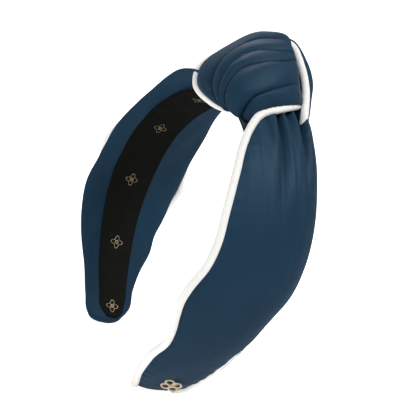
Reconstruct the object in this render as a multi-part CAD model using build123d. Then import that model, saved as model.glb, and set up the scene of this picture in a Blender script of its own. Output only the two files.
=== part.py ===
from build123d import *
import os
from math import cos, degrees, radians, sin

# A knotted headband: a springy plastic hoop inside a padded fabric cover, with piping along the
# cover's edges, a ribbon lining on the head side, and a tied knot of the same fabric at the top.
#
# Frame: millimetres, origin at the centre of the crown arc, where the head is. +Z is up, through
# the crown. +X is the wearer's left and +Y the back of the head. The hoop lies in the XZ plane and
# the cover's width runs along Y. A place along an arm is its arc length from the crown's top point,
# measured on the hoop's middle surface. A height is measured outwards from that surface.

# Hoop line: a round crown, then arms that straighten a little towards the tips.
HEAD_RADIUS = 65.0
CROWN_HALF_ANGLE = 112.0
ARM_RADIUS = 104.0
ARM_LENGTH = 187.0

# Layers, from the head outwards.
RIBBON_THICK = 0.7
FACING_THICK = 0.9
HOOP_THICK = 1.6
FOAM_THICK = 1.8
COVER_THICK = 0.8
LAYER_GAP = 0.1

# Widths of the narrow parts and of the piping.
HOOP_WIDTH = 20.0
RIBBON_WIDTH = 22.0
HOOP_TIP_WIDTH = 9.0
HOOP_TIP_INSET = 5.0
RIBBON_TIP_WIDTH = 14.0
RIBBON_TIP_INSET = 2.5
FOAM_TIP_INSET = 22.0
FOAM_EDGE_INSET = 4.0
CROWN_FACING_WIDTH = 26.0
PIPING_WIDTH = 3.6
PIPING_HEIGHT = 3.6
TIP_CORNER = 7.0
TIP_ROUNDING = 0.3
STRIP_CORNER_SHARE = 0.25

# Half widths of the cover at places along each arm, towards the front and the back of the head.
LEFT_FRONT = [(28, 15.5), (45, 18), (65, 22.5), (85, 25), (110, 31), (135, 27), (155, 25), (180, 15.5)]
LEFT_BACK = [(28, 20), (45, 24.5), (65, 27), (85, 27), (103, 25.5), (120, 21.5), (140, 18), (180, 14)]
RIGHT_FRONT = [(35, 18), (60, 19.5), (90, 22.5), (117, 24.3), (140, 21), (160, 16.5), (180, 13.5)]
RIGHT_BACK = [(35, 20), (60, 22.5), (80, 25.5), (100, 27), (116, 26), (133, 22.2), (150, 18.3), (180, 12)]

# Knot: it sits a little to the wearer's right of the crown's top point, and a little to the back.
KNOT_ANGLE = -4.0
KNOT_SHIFT = 2.0
KNOT_HALF_LENGTH = 27.0
KNOT_HALF_DEPTH = 21.0
KNOT_RISE = 30.5
KNOT_BASE = 70.0
WRAP_THICK = 3.0
FIT_GAP = 0.3
KNOT_CHANNEL_HALF_WIDTH = 13.6
KNOT_LOW_RADIUS = 65.7
NEAR_PIPING_RISE = 3.5
NEAR_PIPING_START = 6.0
KNOT_CUT_LOW = 35.0
FAR_EDGE = -17.0
FAR_EDGE_LEAN = 6.0
FAR_EDGE_TURN = 12.0
STRIP_CENTRE = 1.0
STRIP_WIDTH = 22.0
STRIP_THICK = 2.2
STRIP_LEAN = -38.0

# Flex lines: each arm opens about one, just outside the knot.
FLEX_HALF_ANGLE = 25.5
FLEX_RELIEF = 16.5
GATHER_RISE = 5.0
GATHER_LENGTH = 34.0
GATHER_HALFWAY = 0.45

# Ornament near the left tip: four open petals, with prongs through the cover.
CHARM_PLACE = 173.0
CHARM_OFFSET = 2.0
PETAL_RADIUS = 2.7
PETAL_HOLE_RADIUS = 1.4
PETAL_PITCH = 2.5
CHARM_THICK = 1.1
PRONG_RADIUS = 0.45
PRONG_PITCH = 1.5
PRONG_HOLE_GAP = 0.1
BACKING_RADIUS = 3.0
BACKING_THICK = 0.5

# Worked out from the above: heights of the layers, and the radius of the hoop's middle surface.
HOOP_HALF = HOOP_THICK / 2
FACING_TOP = -HOOP_HALF - LAYER_GAP
FACING_LOW = FACING_TOP - FACING_THICK
RIBBON_TOP = FACING_LOW - LAYER_GAP
RIBBON_LOW = RIBBON_TOP - RIBBON_THICK
FOAM_LOW = HOOP_HALF + LAYER_GAP
FOAM_TOP = FOAM_LOW + FOAM_THICK
COVER_LOW = FOAM_TOP + LAYER_GAP
COVER_TOP = COVER_LOW + COVER_THICK
HOOP_RADIUS = HEAD_RADIUS - RIBBON_LOW
CROWN_LENGTH = HOOP_RADIUS * radians(CROWN_HALF_ANGLE)

FAR = 60.0
BORE_OVERRUN = 5.0
PAST_TIP = -15.0
OUT = "parts"


def angle_at(place):
    """Direction of the outward normal at a place along an arm, in radians from straight up."""
    if place <= CROWN_LENGTH:
        return place / HOOP_RADIUS
    return radians(CROWN_HALF_ANGLE) + (place - CROWN_LENGTH) / ARM_RADIUS


def on_arm(place, height, y=0.0):
    """Point of the left arm's layer at that height. The right arm is its mirror image."""
    turn = angle_at(place)
    if place <= CROWN_LENGTH:
        radius = HOOP_RADIUS + height
        return Vector(radius * sin(turn), y, radius * cos(turn))
    end = radians(CROWN_HALF_ANGLE)
    shift = HOOP_RADIUS - ARM_RADIUS
    radius = ARM_RADIUS + height
    return Vector(shift * sin(end) + radius * sin(turn), y, shift * cos(end) + radius * cos(turn))


def layer_line(start, end, height):
    """Edges along the arm at one height: the crown arc, then the arm's wider arc."""
    edges = []
    for low, high in ((start, CROWN_LENGTH), (CROWN_LENGTH, end)):
        if high > low:
            edges.append(ThreePointArc(on_arm(low, height), on_arm((low + high) / 2, height), on_arm(high, height)))
    return edges


def layer(start, end, low, high):
    """A sheet between two heights, much wider than the arm, to be cut to an outline."""
    inner = layer_line(start, end, low)
    outer = layer_line(start, end, high)
    ends = [Line(on_arm(place, low), on_arm(place, high)) for place in (start, end)]
    face = Face(Wire(inner + outer + ends))
    return extrude(face, amount=FAR, dir=(0, 1, 0), both=True)


def outline(front, back, inset=0.0, tip_inset=0.0):
    """The cover's outline seen from the side of the head, pushed through the arm along X."""
    tip = ARM_LENGTH - tip_inset
    corner = TIP_CORNER - inset / 2
    edges = []
    ends = []
    for side, widths in ((-1, front), (1, back)):
        rows = [(place, side * (width - inset)) for place, width in widths]
        points = [Vector(0, y, on_arm(min(place, tip - corner), 0).Z) for place, y in rows]
        top = Vector(0, points[0].Y, FAR * 2)
        edges.append(Line(top, points[0]))
        edges.append(Spline(points, tangents=[(0, 0, -1), points[-1] - points[-2]]))
        last = points[-1]
        foot = Vector(0, last.Y - side * corner, on_arm(tip, 0).Z)
        middle = Vector(0, last.Y - side * corner * TIP_ROUNDING, last.Z * TIP_ROUNDING + foot.Z * (1 - TIP_ROUNDING))
        edges.append(ThreePointArc(last, middle, foot))
        ends.append((top, foot))
    edges.append(Line(ends[0][0], ends[1][0]))
    edges.append(Line(ends[0][1], ends[1][1]))
    return extrude(Face(Wire(edges)), amount=FAR * 2, dir=(1, 0, 0))


def strip_outline(width, tip_width, tip_inset):
    """A strip of even width over the crown that tapers along the lower arm to a chamfered tip."""
    tip = ARM_LENGTH - tip_inset
    corner = tip_width * STRIP_CORNER_SHARE
    half, tip_half = width / 2, tip_width / 2
    rows = [
        (half, FAR * 2),
        (half, on_arm(CROWN_LENGTH, 0).Z),
        (tip_half, on_arm(tip - corner, 0).Z),
        (tip_half - corner, on_arm(tip, 0).Z),
    ]
    points = [(0, y, z) for y, z in rows] + [(0, -y, z) for y, z in reversed(rows)]
    return extrude(Face(Wire(Polyline(*points, close=True).edges())), amount=FAR * 2, dir=(1, 0, 0))


def flex_place(side):
    """Place of an arm's flex line along that arm: the knot isn't at the crown's top point."""
    return HOOP_RADIUS * radians(FLEX_HALF_ANGLE + side * KNOT_ANGLE)


def beyond_flex(side):
    """Everything on the tip's side of a flex line, with room for the arm to open."""
    turn = angle_at(flex_place(side))
    along = Vector(cos(turn), 0, -sin(turn))
    normal = Vector(sin(turn), 0, cos(turn))
    axis = on_arm(flex_place(side), 0) + along * FIT_GAP
    lean = along * sin(radians(FLEX_RELIEF)) + normal * cos(radians(FLEX_RELIEF))
    corners = [
        axis,
        axis + lean * FAR,
        axis + lean * FAR + along * FAR * 3,
        axis - normal * FAR * 4 + along * FAR * 3,
        axis - normal * FAR * 4,
    ]
    return extrude(Face(Wire(Polyline(*corners, close=True).edges())), amount=FAR, dir=(0, 1, 0), both=True)


def gather_block(side):
    """Where the cover is drawn together beside the knot it stands higher, then runs out flat."""
    start = flex_place(side)
    end = start + GATHER_LENGTH
    foot = [on_arm(start, COVER_LOW), on_arm(end, COVER_LOW)]
    crest = [
        on_arm(start, COVER_TOP + GATHER_RISE),
        on_arm(start + GATHER_LENGTH * GATHER_HALFWAY, COVER_TOP + GATHER_RISE / 2),
        on_arm(end, COVER_TOP),
    ]
    edges = [
        ThreePointArc(foot[0], on_arm((start + end) / 2, COVER_LOW), foot[1]),
        Line(foot[1], crest[2]),
        Spline(crest),
        Line(crest[0], foot[0]),
    ]
    return extrude(Face(Wire(edges)), amount=FAR, dir=(0, 1, 0), both=True)


def arm_pieces(side, front, back):
    """Cover, facing, foam and the two pipings of one arm, built as the left arm and mirrored."""
    start = flex_place(side)
    keep = beyond_flex(side)
    edge_out = outline(front, back)
    edge_in = outline(front, back, PIPING_WIDTH + LAYER_GAP, LAYER_GAP)
    cavity = outline(front, back, PIPING_WIDTH + COVER_THICK + 2 * LAYER_GAP, COVER_THICK + LAYER_GAP)
    ring_in = outline(front, back, PIPING_WIDTH, PAST_TIP)

    tray = layer(start, ARM_LENGTH, FACING_TOP + LAYER_GAP, COVER_TOP) + gather_block(side)
    tray = tray & edge_in
    tray = tray - (layer(start - BORE_OVERRUN, ARM_LENGTH, FACING_TOP, COVER_LOW) & cavity)
    cover = tray & keep
    facing = layer(start, ARM_LENGTH, FACING_LOW, FACING_TOP) & edge_out & keep
    foam_area = outline(front, back, PIPING_WIDTH + FOAM_EDGE_INSET)
    foam = layer(start, ARM_LENGTH - FOAM_TIP_INSET, FOAM_LOW, FOAM_TOP) & foam_area & keep
    rim = layer(start, ARM_LENGTH - TIP_CORNER, FACING_TOP + LAYER_GAP, FACING_TOP + LAYER_GAP + PIPING_HEIGHT)
    rim = (rim & edge_out & keep) - ring_in
    front_piping = rim & Pos(0, -FAR, 0) * Box(FAR * 4, FAR * 2, FAR * 6)
    back_piping = rim & Pos(0, FAR, 0) * Box(FAR * 4, FAR * 2, FAR * 6)
    pieces = {
        "outer_panel": cover,
        "inner_panel": facing,
        "foam_pad": foam,
        "front_piping": front_piping,
        "back_piping": back_piping,
    }
    if side < 0:
        pieces = {name: mirror(piece, about=Plane.YZ) for name, piece in pieces.items()}
    return pieces


def full_hoop(low, high, width, tip_width, tip_inset):
    """A strip that runs from tip to tip under the cover."""
    half = layer(0, ARM_LENGTH - tip_inset, low, high) & strip_outline(width, tip_width, tip_inset)
    return half + mirror(half, about=Plane.YZ)


def crown_facing():
    """The stretch of facing under the knot, between the two flex lines."""
    sheet = Cylinder(HOOP_RADIUS + FACING_TOP, CROWN_FACING_WIDTH, rotation=(90, 0, 0))
    sheet = sheet - Cylinder(HOOP_RADIUS + FACING_LOW, CROWN_FACING_WIDTH * 2, rotation=(90, 0, 0))
    reach = radians(FLEX_HALF_ANGLE)
    wedge = [
        (0, 0, 0),
        (FAR * 2 * sin(-reach), 0, FAR * 2 * cos(reach)),
        (FAR * 2 * sin(reach), 0, FAR * 2 * cos(reach)),
    ]
    block = extrude(Face(Wire(Polyline(*wedge, close=True).edges())), amount=FAR, dir=(0, 1, 0), both=True)
    return Rot(0, KNOT_ANGLE, 0) * (sheet & block)


def knot_form(grow):
    """The knot's rounded form, grown or shrunk evenly."""
    size = (KNOT_HALF_LENGTH + grow, KNOT_HALF_DEPTH + grow, KNOT_RISE + grow)
    return Pos(0, KNOT_SHIFT, KNOT_BASE) * scale(Sphere(1), by=size)


def round_bar(radius, width):
    """A cylinder across the head, used to keep the knot clear of the hoop and of the head."""
    return Cylinder(radius, width, rotation=(90, 0, 0))


def knot_seat():
    """What the knot leaves free: the hoop's channel, the head, and all that is below them."""
    channel = round_bar(HOOP_RADIUS + HOOP_HALF + LAYER_GAP, KNOT_CHANNEL_HALF_WIDTH * 2)
    head = round_bar(KNOT_LOW_RADIUS, FAR * 2)
    below = Pos(0, 0, -FAR + KNOT_CUT_LOW) * Box(FAR * 3, FAR * 3, FAR * 2)
    return channel + head + below


def slab(offset, thick, turn_y, turn_z):
    """A flat cut across the knot, turned about its own centre."""
    return Pos(offset, 0, KNOT_BASE) * Rot(0, turn_y, turn_z) * Box(thick, FAR * 2, FAR * 2)


def knot_pieces():
    """The tied knot: a gathered core, the wrap over it, the strip behind, and their pipings."""
    seat = knot_seat()
    core = knot_form(-WRAP_THICK - FIT_GAP) - seat
    wrap = knot_form(0) - knot_form(-WRAP_THICK) - seat
    piping_shell = knot_form(LAYER_GAP + PIPING_WIDTH) - knot_form(LAYER_GAP) - seat
    ahead_of_strip = Pos(0, KNOT_CHANNEL_HALF_WIDTH - LAYER_GAP - FAR, 0) * Box(FAR * 4, FAR * 2, FAR * 4)
    behind = Pos(0, KNOT_CHANNEL_HALF_WIDTH + FAR, 0) * Box(FAR * 4, FAR * 2, FAR * 4)

    # The near piping lies low round the knot's left end, where the wrap meets the arm's cover.
    low_band = Pos(FAR + NEAR_PIPING_START, 0, KNOT_BASE + NEAR_PIPING_RISE) * Box(FAR * 2, FAR * 2, PIPING_HEIGHT)
    near_piping = piping_shell & low_band & ahead_of_strip
    far_edge = slab(FAR_EDGE, PIPING_WIDTH, FAR_EDGE_LEAN, FAR_EDGE_TURN)
    far_piping = (piping_shell & far_edge & ahead_of_strip).solids().sort_by(SortBy.VOLUME)[-1]

    # The strip leans over the back of the knot, with its piping along the side nearer the left arm.
    strip_shell = knot_form(FIT_GAP + STRIP_THICK) - knot_form(FIT_GAP) - seat
    strip = strip_shell & behind & slab(STRIP_CENTRE, STRIP_WIDTH, STRIP_LEAN, 0)
    pitch = (STRIP_WIDTH / 2 + LAYER_GAP + PIPING_WIDTH / 2) / cos(radians(STRIP_LEAN))
    strip_piping = piping_shell & behind & slab(STRIP_CENTRE + pitch, PIPING_WIDTH, STRIP_LEAN, 0)
    pieces = {
        "knot_core": core,
        "knot_wrap": wrap,
        "knot_wrap_near_piping": near_piping,
        "knot_wrap_far_piping": far_piping,
        "knot_back_strip": strip,
        "knot_back_strip_piping": strip_piping,
    }
    return {name: Rot(0, KNOT_ANGLE, 0) * piece for name, piece in pieces.items()}


def charm_frame(height):
    """Plane on the left arm near its tip, facing outwards."""
    turn = angle_at(CHARM_PLACE)
    normal = (sin(turn), 0, cos(turn))
    return Plane(origin=on_arm(CHARM_PLACE, height, CHARM_OFFSET), x_dir=(0, 1, 0), z_dir=normal)


def prongs(radius, low, high):
    """Two round prongs, or the holes for them."""
    bars = [Pos(x, 0, (low + high) / 2) * Cylinder(radius, high - low) for x in (-PRONG_PITCH, PRONG_PITCH)]
    return bars[0] + bars[1]


def charm_pieces():
    """A four-petal metal ornament, with prongs through the cover into a backing plate."""
    face = charm_frame(COVER_TOP + LAYER_GAP)
    depth = COVER_THICK + 2 * LAYER_GAP + BACKING_THICK
    low_end = (Align.CENTER, Align.CENTER, Align.MIN)
    charm = Cylinder(PETAL_HOLE_RADIUS, CHARM_THICK, align=low_end)
    spots = [Pos(x * PETAL_PITCH, y * PETAL_PITCH, 0) for x, y in ((1, 0), (-1, 0), (0, 1), (0, -1))]
    for spot in spots:
        charm += spot * Cylinder(PETAL_RADIUS, CHARM_THICK, align=low_end)
    for spot in spots:
        charm -= spot * Cylinder(PETAL_HOLE_RADIUS, CHARM_THICK, align=low_end)
    charm = charm + prongs(PRONG_RADIUS, -depth, CHARM_THICK / 2)
    low = -depth
    plate = Pos(0, 0, low + BACKING_THICK / 2) * Cylinder(BACKING_RADIUS, BACKING_THICK)
    holes = prongs(PRONG_RADIUS + PRONG_HOLE_GAP, low - 1, 1)
    return face * charm, face * (plate - holes), face * prongs(PRONG_RADIUS + PRONG_HOLE_GAP, -depth - 1, 1)


def main():
    os.makedirs(OUT, exist_ok=True)
    pieces = {
        "hoop_core": full_hoop(-HOOP_HALF, HOOP_HALF, HOOP_WIDTH, HOOP_TIP_WIDTH, HOOP_TIP_INSET),
        "lining_ribbon": full_hoop(RIBBON_LOW, RIBBON_TOP, RIBBON_WIDTH, RIBBON_TIP_WIDTH, RIBBON_TIP_INSET),
        "crown_inner_panel": crown_facing(),
    }
    for side, label, front, back in ((1, "left", LEFT_FRONT, LEFT_BACK), (-1, "right", RIGHT_FRONT, RIGHT_BACK)):
        for name, piece in arm_pieces(side, front, back).items():
            pieces[f"{label}_{name}"] = piece
    pieces.update(knot_pieces())
    charm, backing, holes = charm_pieces()
    pieces["left_outer_panel"] = pieces["left_outer_panel"] - holes
    pieces["charm"] = charm
    pieces["charm_backing_plate"] = backing
    for name, piece in pieces.items():
        export_step(piece, os.path.join(OUT, name + ".step"))


main()
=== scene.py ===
from math import cos, pi, radians, sin

import bmesh
import bpy
import numpy as np
from mathutils import Matrix, Vector


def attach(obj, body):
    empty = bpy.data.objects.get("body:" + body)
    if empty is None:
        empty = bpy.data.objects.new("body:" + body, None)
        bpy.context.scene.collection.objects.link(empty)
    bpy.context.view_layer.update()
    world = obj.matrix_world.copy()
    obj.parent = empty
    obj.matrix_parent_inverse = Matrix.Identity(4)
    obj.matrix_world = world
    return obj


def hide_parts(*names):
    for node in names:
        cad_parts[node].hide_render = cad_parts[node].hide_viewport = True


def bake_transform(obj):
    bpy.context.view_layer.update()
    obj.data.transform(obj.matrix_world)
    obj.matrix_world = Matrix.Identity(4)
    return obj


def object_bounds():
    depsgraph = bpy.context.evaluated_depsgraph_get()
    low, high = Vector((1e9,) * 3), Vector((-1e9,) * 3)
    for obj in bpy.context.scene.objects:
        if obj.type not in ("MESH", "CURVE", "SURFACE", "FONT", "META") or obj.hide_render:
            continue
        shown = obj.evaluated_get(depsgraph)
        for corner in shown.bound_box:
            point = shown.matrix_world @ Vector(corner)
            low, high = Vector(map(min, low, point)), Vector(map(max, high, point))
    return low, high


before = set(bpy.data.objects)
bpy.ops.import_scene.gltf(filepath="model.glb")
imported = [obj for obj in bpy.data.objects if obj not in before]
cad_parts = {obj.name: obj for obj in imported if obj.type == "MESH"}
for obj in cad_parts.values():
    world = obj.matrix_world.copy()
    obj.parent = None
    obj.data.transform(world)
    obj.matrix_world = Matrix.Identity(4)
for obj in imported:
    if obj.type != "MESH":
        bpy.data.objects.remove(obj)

cad_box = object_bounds()
bpy.ops.object.select_all(action="DESELECT")
scene = bpy.context.scene


# ---------------------------------------------------------------------------------------------
# Studio: a plain white floor under the tips, a broad soft light above and behind the wearer's left
# shoulder, a weaker one from the front, and a long lens that looks at the left arm from a little above.
VIEW_AZIMUTH, VIEW_ELEVATION, VIEW_ROLL = radians(57.9), radians(16.6), radians(24.3)
VIEW_DISTANCE, VIEW_SIDE, VIEW_RISE = 0.6635, 0.0105, 0.0109
LENS = 121.5

toward = Vector((sin(VIEW_AZIMUTH), -cos(VIEW_AZIMUTH), 0)) * cos(VIEW_ELEVATION)
toward.z = sin(VIEW_ELEVATION)
level = Vector((cos(VIEW_AZIMUTH), sin(VIEW_AZIMUTH), 0))
upright = toward.cross(level)
view_right = cos(VIEW_ROLL) * level + sin(VIEW_ROLL) * upright
view_up = cos(VIEW_ROLL) * upright - sin(VIEW_ROLL) * level
camera_data = bpy.data.cameras.new("camera")
camera_data.lens = LENS
camera = bpy.data.objects.new("camera", camera_data)
scene.collection.objects.link(camera)
turn = Matrix((view_right, view_up, toward)).transposed().to_4x4()
camera_spot = toward * VIEW_DISTANCE + view_right * VIEW_SIDE + view_up * VIEW_RISE
camera.matrix_world = Matrix.Translation(camera_spot) @ turn
scene.camera = camera
scene.view_settings.view_transform = "Standard"

world = bpy.data.worlds.new("studio")
world.use_nodes = True
world.node_tree.nodes["Background"].inputs["Color"].default_value = (0.93, 0.96, 1, 1)
world.node_tree.nodes["Background"].inputs["Strength"].default_value = 0.22
scene.world = world


def softbox(name, place, size, power):
    """A square area light that faces the middle of the headband."""
    data = bpy.data.lights.new(name, "AREA")
    data.size = size
    data.energy = power
    light = bpy.data.objects.new(name, data)
    scene.collection.objects.link(light)
    spot = Vector(place)
    light.matrix_world = Matrix.Translation(spot) @ spot.to_track_quat("Z", "Y").to_matrix().to_4x4()


softbox("key", (0.32, 0.3, 1.15), 0.45, 11)
softbox("fill", (0.4, -0.7, 1), 0.5, 6)
softbox("rim", (-0.9, 0.1, 0.6), 0.5, 2.5)

FLOOR_SIZE, FLOOR_GAP = 6, 0.001
bpy.ops.mesh.primitive_plane_add(size=FLOOR_SIZE, location=(0, 0, cad_box[0][2] - FLOOR_GAP))
floor = bpy.context.object
floor.name = "floor"
floor_finish = bpy.data.materials.new("floor_white")
floor_finish.use_nodes = True
floor_shader = floor_finish.node_tree.nodes["Principled BSDF"]
floor_shader.inputs["Base Color"].default_value = (0.9, 0.9, 0.9, 1)
floor_shader.inputs["Roughness"].default_value = 0.9
floor_shader.inputs["Emission Color"].default_value = (1, 1, 1, 1)
floor_shader.inputs["Emission Strength"].default_value = 0.95
floor.data.materials.append(floor_finish)
floor.visible_glossy = False


# ---------------------------------------------------------------------------------------------
# Hoop core: one springy strip of black plastic from tip to tip, 20 mm wide over the crown and
# tapered at the tips. It is pushed into the sewn cover and holds every other piece in its curve.
MM = 0.001
HOOP_RADIUS, ARM_RADIUS, CROWN_ANGLE, ARM_LENGTH = 67.6, 104.0, radians(112), 187.0
CROWN_LENGTH = HOOP_RADIUS * CROWN_ANGLE
LEFT, RIGHT = 1, -1
ARM_NAME = {LEFT: "left", RIGHT: "right"}


def on_hoop(side, along, across, height):
    """Places in metres, from millimetres along the arm, across it and out of the hoop's middle."""
    along, across, height = np.broadcast_arrays(*(np.asarray(x, float) for x in (along, across, height)))
    lower = along > CROWN_LENGTH
    turn = np.where(lower, CROWN_ANGLE + (along - CROWN_LENGTH) / ARM_RADIUS, along / HOOP_RADIUS)
    radius = np.where(lower, ARM_RADIUS, HOOP_RADIUS) + height
    shift = np.where(lower, HOOP_RADIUS - ARM_RADIUS, 0)
    x = shift * sin(CROWN_ANGLE) + radius * np.sin(turn)
    z = shift * cos(CROWN_ANGLE) + radius * np.cos(turn)
    return np.stack((side * x, across, z), -1) * MM


def flow(stops, x):
    """A smooth value at x through (x, value) stops, level beyond the first and the last."""
    xs, ys = (np.array(column, float) for column in zip(*stops))
    x = np.clip(np.asarray(x, float), xs[0], xs[-1])
    slopes = np.gradient(ys, xs)
    i = np.clip(np.searchsorted(xs, x, side="right") - 1, 0, len(xs) - 2)
    span = xs[i + 1] - xs[i]
    t = (x - xs[i]) / span
    rise = (2 * t**3 - 3 * t**2 + 1) * ys[i] + (3 * t**2 - 2 * t**3) * ys[i + 1]
    return rise + span * ((t**3 - 2 * t**2 + t) * slopes[i] + (t**3 - t**2) * slopes[i + 1])


def closed(mesh):
    """Welds points that touch and turns the faces of a closed mesh outward."""
    made = bmesh.new()
    made.from_mesh(mesh)
    bmesh.ops.remove_doubles(made, verts=made.verts, dist=1e-6)
    bmesh.ops.recalc_face_normals(made, faces=made.faces)
    made.to_mesh(mesh)
    made.free()


def cloth(name, points, run, girth, ring=False, out=None, crease_shade=None):
    """A sheet from a grid of points, with a UV map in metres; ring joins the last column to the first.
    out is a direction that the faces of the grid's middle should look along. The last argument gives each
    point its painted crease shade, from 0 to 1, which darkens the knit where the point lies deep in a
    crease."""
    rows, columns = points.shape[:2]
    mesh = bpy.data.meshes.new(name)
    last = columns if ring else columns - 1
    corner = []
    for i in range(rows - 1):
        for j in range(last):
            k = (j + 1) % columns
            corner.append((i * columns + j, i * columns + k, (i + 1) * columns + k, (i + 1) * columns + j))
    caps = [list(range(columns))[::-1], [(rows - 1) * columns + j for j in range(columns)]] if ring else []
    mesh.from_pydata(points.reshape(-1, 3).tolist(), [], corner + caps)
    uv = mesh.uv_layers.new(name="cloth")
    for face, polygon in enumerate(mesh.polygons):
        cap = face >= len(corner)
        for spot, loop in enumerate(polygon.loop_indices):
            vertex = mesh.loops[loop].vertex_index
            i, j = divmod(vertex, columns)
            wide = girth[i, j]
            if ring and not cap and face % last == last - 1 and j == 0:
                wide = girth[i, -1] + (girth[i, -1] - girth[i, -2])
            uv.data[loop].uv = (run[i, j], wide)
    # Store the painted crease shade on the points, for the knit's colour to darken with.
    if crease_shade is not None:
        depth = mesh.attributes.new("crease_shade", "FLOAT", "POINT")
        depth.data.foreach_set("value", np.broadcast_to(crease_shade, points.shape[:2]).ravel())
    for polygon in mesh.polygons:
        polygon.use_smooth = True
    piece = bpy.data.objects.new(name, mesh)
    scene.collection.objects.link(piece)
    if ring:
        closed(mesh)
    elif out is not None:
        middle = mesh.polygons[(rows // 2) * last + last // 2]
        if middle.normal.dot(Vector(out)) < 0:
            mesh.flip_normals()
    return piece


def finished(piece, kind, **settings):
    """Adds a modifier, sets it and applies it."""
    bpy.ops.object.select_all(action="DESELECT")
    bpy.context.view_layer.objects.active = piece
    piece.select_set(True)
    modifier = piece.modifiers.new(kind.title(), kind)
    for key, value in settings.items():
        setattr(modifier, key, value)
    bpy.ops.object.modifier_apply(modifier=modifier.name)
    piece.select_set(False)


def flex_with(piece, side, start=16.0, end=52.0):
    """Bakes a piece's placement into its mesh."""
    near, far = (Vector(on_hoop(side, along, 0, 0)) for along in (start, end))
    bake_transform(piece)


def lengths(points):
    """Distance in metres along each column of a grid of points."""
    steps = np.linalg.norm(np.diff(points, axis=0), axis=-1)
    return np.concatenate((np.zeros((1, points.shape[1])), np.cumsum(steps, axis=0)))


def breadths(points):
    """Distance in metres along each row of a grid of points, counted from its middle."""
    steps = np.linalg.norm(np.diff(points, axis=1), axis=-1)
    along = np.concatenate((np.zeros((points.shape[0], 1)), np.cumsum(steps, axis=1)), axis=1)
    return along - along[:, -1:] / 2


class Signal:
    """A shader socket. Arithmetic on it adds Math nodes, and node() adds any other node beside it."""

    def __init__(self, tree, socket=None):
        self.tree, self.socket = tree, socket

    def node(self, kind, settings=(), out=0, **values):
        made = self.tree.nodes.new("ShaderNode" + kind)
        for key, value in dict(settings).items():
            setattr(made, key, value)
        for key, value in values.items():
            socket = made.inputs[int(key[1:])] if key[1:].isdigit() else made.inputs[key.replace("_", " ")]
            if isinstance(value, Signal):
                self.tree.links.new(value.socket, socket)
            else:
                socket.default_value = value
        return Signal(self.tree, made.outputs[out])

    def maths(self, operation, a, b=0.0):
        return self.node("Math", {"operation": operation}, i0=a, i1=b)

    def __add__(self, other):
        return self.maths("ADD", self, other)

    def __sub__(self, other):
        return self.maths("SUBTRACT", self, other)

    def __rsub__(self, other):
        return self.maths("SUBTRACT", other, self)

    def __mul__(self, other):
        return self.maths("MULTIPLY", self, other)

    __radd__, __rmul__ = __add__, __mul__

    def wave(self):
        """A sine of this value."""
        return self.maths("SINE", self)

    def mixed(self, low, high):
        """A colour that goes from low to high with this value."""
        return self.node("Mix", {"data_type": "RGBA"}, out=2, i0=self, i6=low, i7=high)


def finish_of(name, **constants):
    """A new material, its Principled shader and a Signal to start from."""
    material = bpy.data.materials.new(name)
    material.use_nodes = True
    tree = material.node_tree
    shader = tree.nodes["Principled BSDF"]
    for key, value in constants.items():
        shader.inputs[key.replace("_", " ")].default_value = value
    return material, shader, Signal(tree)


def feed(shader, name, signal):
    """Joins a signal to a socket of the shader."""
    signal.tree.links.new(signal.socket, shader.inputs[name])


plastic, shader, start = finish_of("hoop_plastic", Roughness=0.5)
grain = start.node("TexNoise", Vector=start.node("TexCoord", out=3), Scale=900.0, Detail=3.0)
feed(shader, "Base Color", grain.mixed((0.012, 0.012, 0.013, 1), (0.03, 0.03, 0.032, 1)))
feed(shader, "Normal", start.node("Bump", Strength=0.2, Distance=0.0001, Height=grain))

HOOP_THICK, HOOP_WIDTH, HOOP_TIP_WIDTH, HOOP_END = 1.6, 20.0, 9.0, 182.0
HOOP_ROUNDING, CROWN_STEPS, ARM_STEPS = 0.5, 56, 24
for side in (LEFT, RIGHT):
    bpy.ops.mesh.primitive_plane_add(size=1, location=(0, 0, HOOP_RADIUS * MM), rotation=(0, pi / 2, 0))
    hoop = bpy.context.object
    hoop.name = f"{ARM_NAME[side]}_hoop_half"
    hoop.scale = (HOOP_THICK * MM, HOOP_WIDTH * MM, 1)
    bpy.ops.object.transform_apply(location=True, rotation=True, scale=True)
    bpy.ops.object.mode_set(mode="EDIT")
    bpy.ops.mesh.select_all(action="SELECT")
    bpy.ops.mesh.spin(steps=CROWN_STEPS, angle=-side * CROWN_ANGLE, center=(0, 0, 0), axis=(0, 1, 0))
    arm_centre = Vector((side * sin(CROWN_ANGLE), 0, cos(CROWN_ANGLE))) * (HOOP_RADIUS - ARM_RADIUS) * MM
    arm_angle = (HOOP_END - CROWN_LENGTH) / ARM_RADIUS
    bpy.ops.mesh.spin(steps=ARM_STEPS, angle=-side * arm_angle, center=arm_centre, axis=(0, 1, 0))
    bpy.ops.object.mode_set(mode="OBJECT")
    top, foot = on_hoop(side, CROWN_LENGTH, 0, 0)[2], on_hoop(side, HOOP_END, 0, 0)[2]
    for vertex in hoop.data.vertices:
        taper = min(max((top - vertex.co.z) / (top - foot), 0), 1)
        vertex.co.y *= 1 - taper * (1 - HOOP_TIP_WIDTH / HOOP_WIDTH)
    closed(hoop.data)
    finished(hoop, "BEVEL", width=HOOP_ROUNDING * MM, segments=2, limit_method="ANGLE")
    hoop.data.materials.append(plastic)
    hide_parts("hoop_core")
    flex_with(hoop, side)


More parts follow.
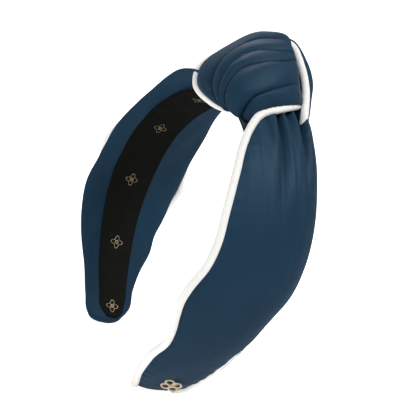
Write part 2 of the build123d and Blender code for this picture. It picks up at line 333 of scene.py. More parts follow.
# ---------------------------------------------------------------------------------------------
# Cover: two cut panels of smooth navy stretch knit on each arm, sewn together along both edges.
# The outer panel is crowned over a foam pad, and is gathered in soft folds where it meets the knot.
navy, shader, start = finish_of("cover_knit", Roughness=0.55)
shader.inputs["Sheen Weight"].default_value = 0.06
shader.inputs["Sheen Roughness"].default_value = 0.35
shader.inputs["Sheen Tint"].default_value = (0.45, 0.7, 1, 1)
shader.inputs["Specular IOR Level"].default_value = 0.16
shader.inputs["Specular Tint"].default_value = (0.5, 0.8, 1, 1)
KNIT_PITCH = 0.0005
spot = start.node("UVMap", {"uv_map": "cloth"})
course = start.node("SeparateXYZ", Vector=spot, out=0) * (2 * pi / KNIT_PITCH)
wale = start.node("SeparateXYZ", Vector=spot, out=1) * (2 * pi / KNIT_PITCH)
stitch = (wale + course.wave() * 0.8).wave() * 0.5 + 0.5
fibre = start.node("TexNoise", Vector=start.node("TexCoord", out=3), Scale=1500.0, Detail=4.0)
mottle = start.node("TexNoise", Vector=start.node("TexCoord", out=3), Scale=45.0, Detail=3.0)
tone = mottle * 0.55 + fibre * 0.25 + stitch * 0.2
dyed = tone.mixed((0.0064, 0.0218, 0.0425, 1), (0.0128, 0.0372, 0.0685, 1))
# Painted shade: the knit is painted towards a near-black navy where each piece's stored crease shade says a
# point lies deep in a crease.
painted_crease_shade = start.node("Attribute", {"attribute_name": "crease_shade"}, out=2)
feed(shader, "Base Color", painted_crease_shade.mixed(dyed, (0.0016, 0.0065, 0.015, 1)))
feed(shader, "Roughness", 0.58 - mottle * 0.14)
feed(shader, "Normal", start.node("Bump", Strength=0.22, Distance=0.00012, Height=stitch + fibre * 0.6))

# Half widths of the cover along each arm, in millimetres: (place along the arm, width).
FRONT_WIDTH = {
    LEFT: [(8, 2), (22, 3), (26, 6.2), (30.3, 8.8), (36, 11.6), (42, 14), (48, 15.6), (59, 18.2),
           (71, 20.2), (84, 21.3), (94, 23.6), (103, 27.2), (111, 28), (119, 26.4), (128, 24),
           (136, 23), (144, 24), (154, 22.2), (166, 18.6), (179, 12.4), (188, 8)],
    RIGHT: [(12, 13), (36, 17.5), (52, 18.5), (66, 20), (86, 22.3), (104, 23.2), (116, 24.6), (130, 23),
            (145, 20.3), (160, 16.4), (174, 14.4), (183, 13), (186, 11), (188, 6.5)],
}
BACK_WIDTH = {
    LEFT: [(8, 21), (28, 25), (45, 27.6), (65, 28.6), (85, 28.6), (103, 26.2), (114, 22), (127, 17.6),
           (136, 14.6), (148, 12.4), (165, 11.2), (180, 10), (188, 8)],
    RIGHT: [(12, 13), (40, 18), (61, 21.4), (77, 25), (92, 26.6), (108, 27.2), (118, 25.4), (128, 23.7),
            (137, 21), (146, 20.2), (157, 16), (168, 12.8), (178, 10.8), (183, 6.6), (186, 3),
            (188, -3)],
}
# How far each edge stands out of the hoop's middle surface. Where it is below it, the edge curls in.
FRONT_RISE = {
    LEFT: [(8, 6), (22, 6), (26, 4.5), (30.3, 3), (36, 2), (42, 1.4), (52, 0.7), (80, 0.4), (100, 1.4),
           (118, -0.3), (136, 1.2), (154, 0.2), (187, 0.2)],
    RIGHT: [(12, 4.5), (24, 6), (34, 6.6), (44, 4.8), (56, 2.2), (70, 0.9), (80, 0.6), (104, -0.6),
            (130, 0.6), (150, -0.4), (187, 0)],
}
BACK_RISE = {
    LEFT: [(8, 9), (20, 7.5), (28, 4.2), (38, 0.6), (46, -2), (65, -5), (85, -7), (103, -7), (118, -5),
           (130, -2), (142, -0.2), (187, 0.2)],
    RIGHT: [(12, 6), (28, 4), (45, 1.2), (75, -0.8), (105, 0.8), (130, -0.5), (160, 0.3), (187, 0)],
}
# Where the seam lies, counted from the edge: (place, beyond the edge, out of the edge). On the left arm
# the piping is the edge itself. On the right arm the facing rolls round the edge to meet it.
FRONT_SEAM = {
    LEFT: [(8, 1.5, 0), (187, 1.5, 0)],
    RIGHT: [(12, -6.4, 0.2), (32, -5.6, 0.4), (52, -4.4, 1.9), (74, -4.4, 1.9), (84, -2.6, 1.9),
            (94, -0.9, 1.9), (104, -2.6, 1.9), (114, -4.4, 1.9), (187, -4, 1.7)],
}
BACK_SEAM = {
    LEFT: [(8, -1.6, -2), (26, -3, -4), (36, -2.6, -3), (45, -2.5, -2.4), (112, -2.5, -2.4),
           (124, -1.4, -2), (136, -0.3, -1.6), (150, 0.3, -1.3), (165, 0.9, -0.8), (178, 1.5, 0),
           (187, 1.5, 0)],
    RIGHT: [(12, -3, 0), (40, -1.8, 1.9), (98, -1, 1.9), (106, 0.8, 1.9), (113, 2.2, 1.6),
            (120, 0.6, 1.9), (127, -1.4, 1.9), (187, -1.6, 1.7)],
}
# How far each outer panel bulges out between its seams.
CROWNING = {
    LEFT: [(8, 6.5), (22, 7), (45, 6), (70, 5.4), (110, 5), (140, 4.2), (165, 3), (180, 1.6),
           (188, 0.9)],
    RIGHT: [(12, 7), (28, 6), (50, 5.4), (75, 5), (110, 4.6), (140, 4), (165, 3.2), (180, 2.2),
            (188, 1.6)],
}
# Gather folds: (place across the arm at the knot, place across where it ends, its length, depth, width).
FOLDS = {
    LEFT: [(0.5, -1.5, 34, 1.3, 1.3), (8.2, 1.2, 62, 4.4, 1.2), (14, 9.5, 36, 1.8, 1.2),
           (19.4, 18, 60, 4.2, 1.3)],
    RIGHT: [(-9, -12, 40, 1.6, 1.6), (-2, -4, 56, 2.2, 1.8), (6, 8, 48, 1.8, 1.7),
            (13, 17, 38, 1.4, 1.5)],
}
# Where each cover starts inside the knot, and where it ends in a small round at the tip.
START = {LEFT: 9.0, RIGHT: 14.0}
TIP = {LEFT: 188.0, RIGHT: 187.6}
TIP_ROUND = 2.2
COVER_ROWS, COVER_COLUMNS, FACING_COLUMNS = 160, 61, 49
OUTER_THICK, INNER_THICK = 0.7, 0.5
# Depth of gather fold over which the painted crease shade is scaled, height of the soft ripples, and how
# far the pull of the knot strains the outer panel.
FULL_SHADE_FOLD, RIPPLE, STRAIN_REACH = 4, 0.35, 55
# The facing: how far it lies below the hoop's middle, how much more in its middle, and the stretch
# beside the knot where it stays narrow and flat.
FACING_DROP, FACING_HOLLOW, BESIDE_KNOT, BESIDE_RISE = 0.5, 1.1, 32, 1.6


def edge(side, along, front):
    """Where an edge of the cover lies: across the arm and out of it."""
    if front:
        return -flow(FRONT_WIDTH[side], along), flow(FRONT_RISE[side], along)
    return flow(BACK_WIDTH[side], along), flow(BACK_RISE[side], along)


def seam(side, along, front):
    """Where the seam of an edge lies: across the arm and out of it."""
    across, rise = edge(side, along, front)
    stops = (FRONT_SEAM if front else BACK_SEAM)[side]
    beyond = flow([(place, out) for place, out, _ in stops], along)
    lift = flow([(place, up) for place, _, up in stops], along)
    return across + (-beyond if front else beyond), rise + lift


def places(side):
    """Rows along an arm, closer together by the knot and at the tip."""
    t = np.linspace(0, 1, COVER_ROWS)
    return START[side] + (TIP[side] - START[side]) * (t - 0.035 * np.sin(2 * pi * t))


def creased(side, along, across):
    """Depth of the gather folds at a place on the outer panel."""
    depth = np.zeros(np.broadcast(along, across).shape)
    for near, far, length, deep, wide in FOLDS[side]:
        t = np.clip((along - START[side]) / length, 0, 1)
        line = near + (far - near) * t
        offset = (across - line) / (wide * (0.8 + 1.6 * t))
        valley = np.exp(-(np.abs(offset) ** 1.4))
        back_shoulder = 0.4 * np.exp(-(((offset - 2.4) / 1.4) ** 2))
        front_shoulder = 0.3 * np.exp(-(((offset + 2.4) / 1.4) ** 2))
        depth += deep * (1 - t) ** 1.1 * (back_shoulder + front_shoulder - valley)
    return depth


def puckered(along, gap):
    """Small puckers that the stitching draws into a panel beside its seam."""
    draw = 0.32 * np.sin(along * 0.83 + 1.3 * np.sin(along * 0.19)) + 0.14 * np.sin(along * 1.47 + 2)
    return draw * np.exp(-gap / 3.5) * np.minimum(gap / 1.5, 1)


def closing(side, along):
    """Brings both panels together in a small round at the tip."""
    t = np.clip((along - TIP[side] + TIP_ROUND) / TIP_ROUND, 0, 1)
    return np.sqrt(np.maximum(1 - t * t, 0))


def stretched_sheet(name, points, thickness, offset, out, finish, crease_shade=None):
    """A sheet with a wall, at the size that it was cut to."""
    run, girth = lengths(points), breadths(points)
    piece = cloth(name, points, run, girth, out=out, crease_shade=crease_shade)
    finished(piece, "SOLIDIFY", thickness=thickness * MM, offset=offset)
    piece.data.materials.append(finish)
    return piece


SEAM_ROLL, ROLL_COLUMNS, ROLL_START = 1.3, 8, pi / 3


def rolled(rim, lift, seam_across, angle, inward):
    """The strip of the right facing that turns over an edge and lies back along the cover to its seam.
    inward is 1 at the front edge and -1 at the back edge."""
    back_to_seam = (angle > pi / 2) * (seam_across - rim) * -np.cos(angle) * 0.9
    across = rim + inward * SEAM_ROLL * (1 - np.sin(angle)) + back_to_seam
    return across, lift + OUTER_THICK - SEAM_ROLL * np.cos(angle)


# Radius of the roll in which the left cover turns under along its back edge.
BACK_ROLL = [(8, 1.2), (26, 2.2), (45, 2.2), (112, 2.2), (122, 1.2), (131, 0.25), (187, 0.25)]
for side in (LEFT, RIGHT):
    arm = ARM_NAME[side]
    along = places(side)[:, None]
    share = np.linspace(0, 1, COVER_COLUMNS)[None, :]
    front_across, front_rise = seam(side, along, True)
    back_across, back_rise = seam(side, along, False)
    last_across, last_rise = back_across, back_rise
    if side == LEFT:
        roll = flow(BACK_ROLL, along)
        rim_across, rim_rise = edge(side, along, False)
        last_across = rim_across - roll * (1 - cos(ROLL_START))
        last_rise = rim_rise + roll * sin(ROLL_START)
    across = front_across + (last_across - front_across) * share
    bulge = 1 - np.abs(2 * share - 1) ** 2.6
    height = front_rise * (1 - share) ** 6 + last_rise * share**6 + flow(CROWNING[side], along) * bulge
    gathers = creased(side, along, across) * np.minimum(1, bulge * 2.5)
    height = height + gathers
    # Painted shade: the deeper a gather fold goes, the darker the knit is painted there, up to 0.8 of full.
    crease_shade = np.clip(-gathers / FULL_SHADE_FOLD, 0, 0.8)
    height = height + RIPPLE * np.sin(along / 9 + across / 6) * bulge
    strain = 0.32 * np.sin(across * 0.95 + along * 0.02) + 0.2 * np.sin(across * 1.7 - along * 0.03)
    height = height + strain * np.exp(-(along - START[side]) / STRAIN_REACH) * bulge
    height = height + puckered(along, across - front_across) + puckered(along + 40, last_across - across)
    if side == LEFT:
        turned = np.linspace(ROLL_START, -pi / 2, ROLL_COLUMNS)[None, 1:]
        across = np.concatenate((across, rim_across - roll * (1 - np.cos(turned)), back_across), axis=1)
        height = np.concatenate((height, rim_rise + roll * np.sin(turned), back_rise), axis=1)
        crease_shade = np.pad(crease_shade, ((0, 0), (0, ROLL_COLUMNS)))
    height = height * closing(side, along)
    outer_points = on_hoop(side, along, across, height)
    outer = stretched_sheet(f"{arm}_outer_cover", outer_points, OUTER_THICK, -1, (side, 0, 0), navy,
                            crease_shade)
    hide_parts(f"{arm}_outer_panel")
    flex_with(outer, side)

    # The facing lies flat under the hoop and rises a little to each edge.
    front_edge, front_lift = edge(side, along, True)
    back_edge, back_lift = edge(side, along, False)
    if side == LEFT:
        front_edge, front_lift, back_edge, back_lift = front_across, front_rise, back_across, back_rise
        beside = along < BESIDE_KNOT
        front_edge = np.where(beside, np.minimum(front_edge, -HOOP_WIDTH / 2 - 0.9), front_edge)
        front_lift = np.where(beside, np.minimum(front_lift, BESIDE_RISE), front_lift)
    inside = np.linspace(0, 1, FACING_COLUMNS)[None, :]
    across = front_edge + (back_edge - front_edge) * inside
    hollow = 1 - np.abs(2 * inside - 1) ** 5
    height = front_lift * (1 - inside) ** 6 + back_lift * inside**6 - FACING_HOLLOW * hollow - FACING_DROP
    loose = np.clip((np.abs(across) - HOOP_WIDTH / 2 - 1) / 3, 0, 1) * (1 - np.abs(2 * inside - 1) ** 8)
    slack = 0.8 * np.sin(along / 10 + across / 4) + 0.4 * np.sin(along / 5.3 - across / 3)
    height = height + slack * loose
    if side == RIGHT:
        angle = np.linspace(pi, pi / 6, ROLL_COLUMNS)[None, :]
        front_roll = rolled(front_edge, front_lift, front_across, angle, 1)
        back_roll = rolled(back_edge, back_lift, back_across, angle[:, ::-1], -1)
        across = np.concatenate((front_roll[0], across[:, 3:-3], back_roll[0]), axis=1)
        height = np.concatenate((front_roll[1], height[:, 3:-3], back_roll[1]), axis=1)
    inner_points = on_hoop(side, along, across, height * closing(side, along))
    inner = stretched_sheet(f"{arm}_inner_cover", inner_points, INNER_THICK, 0, (-side, 0, 0), navy)
    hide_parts(f"{arm}_inner_panel")
    flex_with(inner, side)


# ---------------------------------------------------------------------------------------------
# Foam pads: a soft cream sheet laid over the hoop inside each arm, 1.8 mm thick as cut and pressed to
# 1.6 mm by the cover. Each pad stops short of the tip and of the knot.
foam_finish, shader, start = finish_of("foam", Roughness=0.9)
cells = start.node("TexVoronoi", Vector=start.node("TexCoord", out=3), Scale=1400.0)
feed(shader, "Base Color", cells.mixed((0.62, 0.56, 0.42, 1), (0.8, 0.76, 0.64, 1)))
feed(shader, "Normal", start.node("Bump", Strength=0.6, Distance=0.0003, Height=cells))
FOAM_THICK, FOAM_START, FOAM_END, FOAM_ROUND = 1.6, 32.0, 146.0, 8.0
FOAM_SHARE, FOAM_LIFT, FOAM_DROOP = 0.46, 0.9, 1.2
for side in (LEFT, RIGHT):
    along = np.linspace(FOAM_START, FOAM_END, 70)[:, None]
    share = np.linspace(-1, 1, 17)[None, :]
    near_end = np.clip((along - FOAM_END + FOAM_ROUND) / FOAM_ROUND, 0, 0.98)
    cover_width = np.where(share < 0, flow(FRONT_WIDTH[side], along), flow(BACK_WIDTH[side], along))
    width = cover_width * FOAM_SHARE * np.sqrt(1 - near_end**2)
    points = on_hoop(side, along, share * width, FOAM_LIFT - FOAM_DROOP * share**2)
    foam = cloth(f"{ARM_NAME[side]}_foam", points, lengths(points), breadths(points), out=(side, 0, 0))
    finished(foam, "SOLIDIFY", thickness=FOAM_THICK * MM, offset=1)
    foam.data.materials.append(foam_finish)
    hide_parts(f"{ARM_NAME[side]}_foam_pad")
    flex_with(foam, side)


# ---------------------------------------------------------------------------------------------
# Piping: a 3.7 mm cord in a bias strip of warm white twill, sewn into each seam of the cover. On
# the left arm both lengths run on up into the knot, where they edge the wrap and the strip.
white, shader, start = finish_of("piping_twill", Roughness=0.75)
shader.inputs["Sheen Weight"].default_value = 0.2
spot = start.node("UVMap", {"uv_map": "cloth"})
lengthwise = start.node("SeparateXYZ", Vector=spot, out=0)
around = start.node("SeparateXYZ", Vector=spot, out=1)
twill = ((lengthwise + around * 0.8) * (2 * pi / 0.0008)).wave() * 0.5 + 0.5
yarn = ((lengthwise * 0.6 - around) * (2 * pi / 0.0005)).wave() * 0.5 + 0.5
lint = start.node("TexNoise", Vector=start.node("TexCoord", out=3), Scale=350.0, Detail=4.0)
weave = twill * 0.6 + yarn * 0.2 + lint * 0.2
# Base colour: greyer down in the twill's grooves and between its yarns, which is painted shade, and uneven
# with the lint noise, which is the cloth's own tone.
feed(shader, "Base Color", weave.mixed((0.66, 0.64, 0.6, 1), (0.87, 0.86, 0.83, 1)))
feed(shader, "Normal", start.node("Bump", Strength=0.5, Distance=0.00025, Height=weave))
PIPING_RADIUS = 1.85


def tube(name, path, radius, around=14, blunt=(True, True)):
    """A round cord along a path in metres, with rounded ends where blunt says so."""
    tangent = np.gradient(path, axis=0)
    tangent /= np.linalg.norm(tangent, axis=1)[:, None]
    side_way = np.cross(tangent[0], (0.3, 0.2, 1.0))
    frames = []
    for direction in tangent:
        side_way = side_way - direction * side_way.dot(direction)
        side_way = side_way / np.linalg.norm(side_way)
        frames.append((side_way, np.cross(direction, side_way)))
    travel = np.concatenate(([0], np.cumsum(np.linalg.norm(np.diff(path, axis=0), axis=1))))
    size = np.full(len(path), radius * MM)
    for end, wanted in enumerate(blunt):
        reach = travel if end == 0 else travel[-1] - travel
        if wanted:
            near = np.clip(1 - reach / (radius * MM), 0, 0.985)
            size = size * np.sqrt(1 - near**2)
    angle = np.linspace(0, 2 * pi, around, endpoint=False)
    axes = np.array(frames)
    circle = np.stack((np.cos(angle), np.sin(angle)), -1)
    points = path[:, None] + size[:, None, None] * (circle @ axes)
    run = np.tile(travel[:, None], (1, around))
    girth = np.tile(angle[None, :] * radius * MM, (len(path), 1))
    return cloth(name, points, run, girth, ring=True)


def ends_dense(low, high, count):
    """Places from low to high, closer together at both ends, so that a cord's end is round."""
    return low + (high - low) * (0.5 - 0.5 * np.cos(np.linspace(0, pi, count)))


def piping(cord, node):
    """Finishes a cord as piping, in the place of a plain one."""
    cord.data.materials.append(white)
    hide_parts(node)


# Where each cord starts by the knot and where it ends at the tip, in millimetres along its arm.
JOIN_FRONT, JOIN_BACK = 27.0, 31.0
CORD_SPAN = {
    (LEFT, "front"): (JOIN_FRONT, 187.2),
    (LEFT, "back"): (JOIN_BACK, 186.4),
    (RIGHT, "front"): (16.0, 184.0),
    (RIGHT, "back"): (16.0, 180.0),
}
CORD_ROWS = 220
for (side, word), (low, high) in CORD_SPAN.items():
    along = ends_dense(low, high, CORD_ROWS)
    across, rise = seam(side, along, word == "front")
    path = on_hoop(side, along, across, rise)
    cord = tube(f"{ARM_NAME[side]}_{word}_edge_cord", path, PIPING_RADIUS, blunt=(side == RIGHT, True))
    piping(cord, f"{ARM_NAME[side]}_{word}_piping")
    flex_with(cord, side)


# ---------------------------------------------------------------------------------------------
# Lining ribbon: black ribbed ribbon glued along the head side from tip to tip, with a small gold
# foil blossom printed at an even pitch.
black, shader, start = finish_of("ribbed_ribbon")
shader.inputs["Specular IOR Level"].default_value = 0.1
spot = start.node("UVMap", {"uv_map": "cloth"})
rib = (start.node("SeparateXYZ", Vector=spot, out=0) * (2 * pi / 0.0007)).wave() * 0.5 + 0.5
thread = (start.node("SeparateXYZ", Vector=spot, out=1) * (2 * pi / 0.0003)).wave() * 0.5 + 0.5
dust = start.node("TexNoise", Vector=start.node("TexCoord", out=3), Scale=220.0, Detail=3.0)
shade = rib * 0.4 + thread * 0.2 + dust * 0.4
feed(shader, "Base Color", shade.mixed((0.002, 0.002, 0.0017, 1), (0.008, 0.008, 0.0066, 1)))
feed(shader, "Roughness", 0.8 - dust * 0.3)
feed(shader, "Normal", start.node("Bump", Strength=0.5, Distance=0.0002, Height=rib + thread * 0.3))
# How far the ribbon reaches to the front and to the back along each arm: (place, reach).
RIBBON_FRONT = {
    LEFT: [(0, 9.5), (12, 7), (30, 7), (44, 10.4), (70, 11), (120, 10.6), (150, 8.6), (175, 6.6),
           (183, 5.4), (185.5, 2.6)],
    RIGHT: [(0, 9.5), (20, 10.8), (44, 11.8), (74, 13.4), (100, 13.6), (116, 13), (140, 10.8),
            (156, 9.3), (171, 7.6), (181, 6.2), (185, 3)],
}
RIBBON_BACK = {
    LEFT: [(0, 10.8), (70, 11), (120, 10.6), (150, 8.6), (175, 6.6), (183, 5.4), (185.5, 2.6)],
    RIGHT: [(0, 10.8), (44, 11), (76, 9), (110, 8.8), (136, 8), (153, 7.8), (165, 7.4), (177, 6.6),
            (183, 4.4), (185, 2.4)],
}
RIBBON_HEIGHT, RIBBON_THICK = -1.95, 0.6
for side in (LEFT, RIGHT):
    along = np.linspace(0, RIBBON_FRONT[side][-1][0], 150)[:, None]
    share = np.linspace(0, 1, 21)[None, :]
    low, high = -flow(RIBBON_FRONT[side], along), flow(RIBBON_BACK[side], along)
    across = low + (high - low) * share
    sag = 0.25 * (2 * share - 1) ** 4
    points = on_hoop(side, along, across, RIBBON_HEIGHT + sag)
    ribbon = stretched_sheet(f"{ARM_NAME[side]}_lining_half", points, RIBBON_THICK, 1, (-side, 0, 0), black)
    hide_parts("lining_ribbon")
    flex_with(ribbon, side)

gold_leaf, shader, start = finish_of("foil_print", Roughness=0.42, Metallic=0.85)
flake = start.node("TexNoise", Vector=start.node("TexCoord", out=3), Scale=2500.0, Detail=2.0)
feed(shader, "Base Color", flake.mixed((0.3, 0.24, 0.12, 1), (0.66, 0.56, 0.34, 1)))
FOIL_PITCH, FOIL_FIRST, FOIL_COUNT, FOIL_SIZE, FOIL_STROKE = 34.3, 179.0, 6, 2.5, 0.42
FOIL_THICK, FOIL_LIFT, BLOSSOM_PETALS = 0.05, 0.06, 4


def blossom(side, place, centre, size):
    """The outline of a four-petal blossom round a dot, as two bands of foil on the ribbon."""
    angle = np.linspace(0, 2 * pi, 65)[:, None]
    height = RIBBON_HEIGHT - RIBBON_THICK - FOIL_LIFT
    loops = []
    for radius, stroke, depth in ((size, FOIL_STROKE, 0.3), (size * 0.3, size * 0.26, 0)):
        line = radius * (1 + depth * np.cos(BLOSSOM_PETALS * angle))
        band = line + np.array([[-0.5, 0.5]]) * stroke
        points = on_hoop(side, place + band * np.cos(angle), centre + band * np.sin(angle), height)
        loops.append(cloth("foil", points, lengths(points), breadths(points), out=(-side, 0, 0)))
    return loops


for side in (LEFT, RIGHT):
    marks = []
    for number in range(FOIL_COUNT):
        place = FOIL_FIRST - FOIL_PITCH * number
        centre = float(flow(RIBBON_BACK[side], place) - flow(RIBBON_FRONT[side], place)) / 2
        marks += blossom(side, place, centre, FOIL_SIZE)
    bpy.ops.object.select_all(action="DESELECT")
    for mark in marks:
        mark.select_set(True)
    bpy.context.view_layer.objects.active = marks[0]
    bpy.ops.object.join()
    foil = marks[0]
    foil.name = f"{ARM_NAME[side]}_foil_blossoms"
    finished(foil, "SOLIDIFY", thickness=FOIL_THICK * MM, offset=1)
    foil.data.materials.append(gold_leaf)
    flex_with(foil, side)


# ---------------------------------------------------------------------------------------------
# Knot core: the band itself, folded into a ball of navy knit over the hoop. The wrap and the strip
# close round it, so that only its folds show in the gap between them and from behind.
CORE_CENTRE, CORE_HALF = (-5.0, 5.0, 75.0), (23.0, 18.5, 17.5)
# Nothing of the core lies nearer to the middle of the crown than this, so that it stays off the hoop.
CORE_FLOOR = HOOP_RADIUS + HOOP_THICK
CORE_ROWS, CORE_COLUMNS, CORE_POLE = 64, 128, 0.04
polar = np.linspace(CORE_POLE, pi - CORE_POLE, CORE_ROWS)[:, None]
around = np.linspace(0, 2 * pi, CORE_COLUMNS, endpoint=False)[None, :]
swell = 1 + 0.028 * np.sin(7 * around + 2.2 * polar) * np.sin(polar) ** 2
swell = swell + 0.018 * np.sin(11 * around - 3 * polar)
points = np.stack((
    CORE_CENTRE[0] - CORE_HALF[0] * np.cos(polar) * np.ones_like(around),
    CORE_CENTRE[1] + CORE_HALF[1] * swell * np.sin(polar) * np.cos(around),
    CORE_CENTRE[2] + CORE_HALF[2] * swell * np.sin(polar) * np.sin(around),
), -1)
out_of_middle = np.hypot(points[..., 0], points[..., 2])
lift = np.maximum(CORE_FLOOR / out_of_middle, 1)
points[..., 0] *= lift
points[..., 2] *= lift
girth = np.tile(around * CORE_HALF[1] * MM, (CORE_ROWS, 1))
core = cloth("folded_core", points * MM, lengths(points * MM), girth, ring=True)
core.data.materials.append(navy)
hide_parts("knot_core")
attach(core, "crown")


# ---------------------------------------------------------------------------------------------
# Knot wrap: the band of the left arm drawn once round the core, from under the front edge, over
# the top and down behind. Its folds fan out from the tuck, and both its edges carry piping.
# Six lines across it, from its far edge to its near edge; each runs from front tuck to back tuck.
WRAP = [
    [(9, -8, 66), (6, -12, 64.5), (-4, -15, 63.5), (-22, -15, 66), (-28.9, -11.7, 71.9),
     (-28.4, -5.3, 79.6), (-23, 4, 89.5), (-19.5, 11, 97), (-15.5, 17, 98), (-14, 22, 91)],
    [(9.3, -8, 66), (7.5, -13, 65), (-1, -16.8, 65.5), (-16, -17, 68), (-24.6, -13, 74.2),
     (-26.9, -3.6, 85.6), (-20.8, 7.8, 98), (-14.5, 16.8, 100.2), (-12.5, 20.5, 94)],
    [(10, -8, 66), (9.5, -13, 65), (4, -17, 68), (-2.6, -16.5, 70.4), (-9, -13.5, 79.8),
     (-11, -5, 90.3), (-8.5, 7.4, 96.7), (-7.2, 16, 97.8), (-6.5, 20, 93)],
    [(12, -8, 66), (13, -13, 66.5), (13, -17, 70), (10.5, -17, 75.2), (7.4, -13, 83.3), (6.2, -3, 90.2),
     (3.5, 8.6, 93), (-0.8, 17.7, 93.1), (-1.5, 21, 88.5)],
    [(16, -8, 66.2), (18.3, -9.5, 65.5), (19.8, -11.5, 70.7), (20.3, -10.9, 76.9), (19, -4, 82.3),
     (17.5, 1, 84.2), (15.5, 5.9, 85.3), (9.8, 16.7, 85.7), (8, 20, 84)],
    [(22, -6, 65.5), (23, -7.4, 66), (23.5, -6, 68.5), (23, -3.6, 71.9), (20.8, 2.7, 74.9),
     (19.8, 6.5, 76), (18.7, 10.2, 77), (15.2, 19.3, 78.5), (13.5, 22, 78)],
]
# Where those lines lie across the band, where its creases lie, and how high each lobe between two
# creases stands.
WRAP_STATIONS = [0, 0.08, 0.25, 0.5, 0.75, 1]
WRAP_CREASES = [0, 0.2, 0.36, 0.48, 0.78, 1]
WRAP_LOBES = [1.6, 3.2, 2.8, 4, 1.8]
WRAP_THICK, WRAP_ROWS, WRAP_COLUMNS = 0.8, 130, 170


def through(stops, count):
    """A smooth curve of count places through a short list of points."""
    stops = np.array(stops, float)
    travel = np.concatenate(([0], np.cumsum(np.linalg.norm(np.diff(stops, axis=0), axis=1))))
    x = np.linspace(0, travel[-1], count)
    return np.stack([flow(list(zip(travel, stops[:, k])), x) for k in range(3)], -1)


def fan(lines, stations, rows, columns):
    """A smooth surface through a few lines: rows run along the lines, columns across them."""
    curves = np.stack([through(line, rows) for line in lines])
    across = np.linspace(0, 1, columns)
    surface = np.zeros((rows, columns, 3))
    for k in range(3):
        for row in range(rows):
            surface[row, :, k] = flow(list(zip(stations, curves[:, row, k])), across)
    return surface


def facing_out(points, centre):
    """Unit normals of a grid of points, on the side away from a centre."""
    normal = np.cross(np.gradient(points, axis=0), np.gradient(points, axis=1))
    normal /= np.linalg.norm(normal, axis=-1)[..., None] + 1e-9
    side_of = np.sign(((points - np.array(centre)) * normal).sum(-1))
    return normal * np.sign(side_of.sum())


def lobed(points, creases, swells, centre):
    """Raises soft lobes between creases that run along the rows, and gives each point its painted crease
    shade, most down in the creases.
    """
    across = np.linspace(0, 1, points.shape[1])[None, :]
    along = np.linspace(0, 1, points.shape[0])[:, None]
    lines = [0 * along]
    for k, place in enumerate(creases[1:-1]):
        lines.append(place + 0.02 * np.sin(2 * pi * (0.9 * along + 0.31 * k)))
    lines.append(0 * along + 1)
    rise = np.zeros(points.shape[:2])
    crease_shade = np.zeros(points.shape[:2])
    for k, (low, high, swell) in enumerate(zip(lines[:-1], lines[1:], swells)):
        t = (2 * across - low - high) / (high - low)
        uneven = swell * (1 + 0.3 * np.sin(2 * pi * (1.2 * along + 0.37 * k)))
        round_top = np.sqrt(np.maximum(1 - t * t, 0))
        rise = np.where(np.abs(t) <= 1, uneven * (round_top - 0.55), rise)
        # Painted shade: none on a lobe's top, more towards its creases.
        crease_shade = np.where(np.abs(t) <= 1, (1 - round_top) ** 1.6, crease_shade)
    strength = np.sin(pi * np.clip(along, 0.02, 0.98)) ** 0.5 * (1.2 - 0.75 * along)
    wrinkle = 0.2 * np.sin(31 * across + 6 * along) * np.sin(9 * along + 5 * across) * np.sin(pi * along)
    crease_shade = crease_shade * np.clip(strength, 0, 1)
    return points + facing_out(points, centre) * (strength * rise + wrinkle)[..., None], crease_shade * 0.75


wrap_surface = fan(WRAP, WRAP_STATIONS, WRAP_ROWS, WRAP_COLUMNS)
# lobed also gives the painted crease shade that darkens the wrap's knit.
wrap_points, wrap_crease_shade = lobed(wrap_surface, WRAP_CREASES, WRAP_LOBES, CORE_CENTRE)
wrap = stretched_sheet("wrap_band", wrap_points * MM, WRAP_THICK, -1, (0.6, -0.5, 0.6), navy,
                       wrap_crease_shade)
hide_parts("knot_wrap")
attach(wrap, "crown")

far_path = through(WRAP[0], 160)
far_cord = tube("wrap_far_cord", far_path * MM, PIPING_RADIUS)
join_across, join_rise = seam(LEFT, JOIN_FRONT, True)
NEAR_EDGE = [(JOIN_FRONT, float(join_across), float(join_rise)), (23, -5.3, 6), (19.4, 0, 7.5),
             (16.9, 6.9, 9), (14.2, 13.2, 10), (10.3, 21.2, 10.5)]
near_path = on_hoop(LEFT, *through(NEAR_EDGE, 120).T)
near_cord = tube("wrap_near_cord", near_path, PIPING_RADIUS, blunt=(False, True))
piping(far_cord, "knot_wrap_far_piping")
piping(near_cord, "knot_wrap_near_piping")
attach(far_cord, "crown")
flex_with(near_cord, LEFT)


# ---------------------------------------------------------------------------------------------
# Back strip: the left arm's band on its second pass, up behind the knot and over to its far side,
# where it is tucked in under the far edge of the wrap. Its upper edge carries piping.
STRIP = [
    [(-21, 9, 92), (-17, 20, 97), (-4.5, 24.2, 90.5), (3, 25, 85), (11, 23.4, 80), (17.8, 21.3, 75.6),
     (20.4, 21.8, 70), (24, 22, 64.5)],
    [(-25, 7, 90), (-19, 22, 98.4), (-10.5, 29.2, 92.3), (-1.4, 31, 86), (7.7, 28.8, 79.2),
     (17.4, 25.7, 71.8), (22, 24.6, 67.3), (25, 24, 63)],
    [(-27, 6, 86), (-29, 18, 88), (-24, 26.5, 82), (-14, 29, 75), (-4, 27, 70), (8, 24, 67),
     (16, 23.5, 65.5), (22, 23, 63)],
    [(-26, 6, 82), (-26, 15, 80), (-21, 20, 74), (-12, 22, 69), (-4, 21, 67), (8, 19, 66.5),
     (15, 19, 65), (21, 19, 63)],
]
STRIP_STATIONS, STRIP_CREASES, STRIP_LOBES = [0, 0.3, 0.65, 1], [0, 0.3, 0.6, 1], [1.4, 2.2, 1.8]
STRIP_ROWS, STRIP_COLUMNS = 90, 80
strip_surface = fan(STRIP, STRIP_STATIONS, STRIP_ROWS, STRIP_COLUMNS)
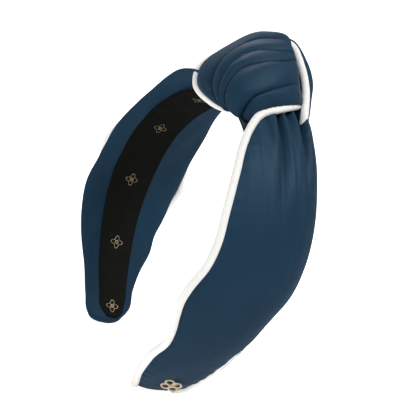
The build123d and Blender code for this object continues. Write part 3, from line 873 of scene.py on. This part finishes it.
# lobed also gives the painted crease shade that darkens the strip's knit.
strip_points, strip_crease_shade = lobed(strip_surface, STRIP_CREASES, STRIP_LOBES, CORE_CENTRE)
strip = stretched_sheet("back_strip", strip_points * MM, WRAP_THICK, -1, (0, 1, 0.3), navy,
                        strip_crease_shade)
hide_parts("knot_back_strip")
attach(strip, "crown")

join_across, join_rise = seam(LEFT, JOIN_BACK, False)
strip_edge = STRIP[0][:-1] + [tuple(on_hoop(LEFT, JOIN_BACK, join_across, join_rise) / MM)]
strip_cord = tube("strip_edge_cord", through(strip_edge, 150) * MM, PIPING_RADIUS, blunt=(True, False))
piping(strip_cord, "knot_back_strip_piping")
flex_with(strip_cord, LEFT)


# ---------------------------------------------------------------------------------------------
# Crown facing: a short panel of the same navy knit under the hoop, between the knot and the
# lining ribbon, that joins the facings of both arms.
FACING_OVERLAP, FACING_HALF_WIDTH, FACING_HEIGHT = 3, 14, -1.3
along = np.linspace(-START[RIGHT] - FACING_OVERLAP, START[LEFT] + FACING_OVERLAP, 40)[:, None]
share = np.linspace(-1, 1, 31)[None, :]
points = on_hoop(LEFT, along, share * FACING_HALF_WIDTH, FACING_HEIGHT + 0.9 * share**4)
facing = stretched_sheet("crown_facing", points, INNER_THICK, 0, (0, 0, -1), navy)
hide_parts("crown_inner_panel")
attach(facing, "crown")


# ---------------------------------------------------------------------------------------------
# Charm: a small open blossom of pale gold wire, four petals round a bead, fixed through the cover
# near the left tip to a thin plate behind the fabric.
polished, shader, start = finish_of("pale_gold", Metallic=0.55)
worn = start.node("TexNoise", Vector=start.node("TexCoord", out=3), Scale=700.0, Detail=3.0)
feed(shader, "Base Color", worn.mixed((0.86, 0.66, 0.42, 1), (0.98, 0.85, 0.64, 1)))
feed(shader, "Roughness", worn * 0.16 + 0.26)
CHARM_PLACE, CHARM_ACROSS, CHARM_HEIGHT = 165.8, -3, 3.9
CHARM_LEAN, CHARM_TIP = radians(14), radians(-6)
PETAL_REACH, PETAL_RADIUS, WIRE_RADIUS, BEAD_RADIUS = 2.65, 2.0, 0.48, 1.15
PLATE_RADIUS, PLATE_THICK, PLATE_ROUNDING, PLATE_DEPTH = 3.6, 0.5, 0.12, 1.9
charm_turn = CROWN_ANGLE + (CHARM_PLACE - CROWN_LENGTH) / ARM_RADIUS


def on_arm(piece, along, across, height):
    """Moves a mesh made flat at the origin on to the left arm, facing outward."""
    place = Vector(on_hoop(LEFT, along, across, height))
    facing = Matrix.Rotation(charm_turn + CHARM_TIP, 4, "Y") @ Matrix.Rotation(CHARM_LEAN, 4, "X")
    piece.data.transform(Matrix.Translation(place) @ facing)
    piece.data.update()


parts = []
for number in range(BLOSSOM_PETALS):
    angle = pi / 4 + number * 2 * pi / BLOSSOM_PETALS
    bpy.ops.mesh.primitive_torus_add(
        location=(PETAL_REACH * MM * cos(angle), PETAL_REACH * MM * sin(angle), 0),
        major_radius=PETAL_RADIUS * MM, minor_radius=WIRE_RADIUS * MM, major_segments=40, minor_segments=12,
    )
    parts.append(bpy.context.object)
bpy.ops.mesh.primitive_uv_sphere_add(
    location=(0, 0, 0), radius=BEAD_RADIUS * MM, segments=24, ring_count=14,
)
parts.append(bpy.context.object)
bpy.ops.object.select_all(action="DESELECT")
for part in parts:
    part.select_set(True)
bpy.context.view_layer.objects.active = parts[0]
bpy.ops.object.join()
charm = parts[0]
bpy.ops.object.transform_apply(location=True, rotation=True, scale=True)
charm.name = "blossom_charm"
bpy.ops.object.shade_smooth()
on_arm(charm, CHARM_PLACE, CHARM_ACROSS, CHARM_HEIGHT)
charm.data.materials.append(polished)
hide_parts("charm")
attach(charm, "left_arm")

bpy.ops.mesh.primitive_cylinder_add(
    location=(0, 0, 0), radius=PLATE_RADIUS * MM, depth=PLATE_THICK * MM, vertices=48,
)
plate = bpy.context.object
plate.name = "charm_plate"
finished(plate, "BEVEL", width=PLATE_ROUNDING * MM, segments=2, limit_method="ANGLE")
on_arm(plate, CHARM_PLACE, CHARM_ACROSS, CHARM_HEIGHT - PLATE_DEPTH)
plate.data.materials.append(polished)
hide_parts("charm_backing_plate")
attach(plate, "left_arm")
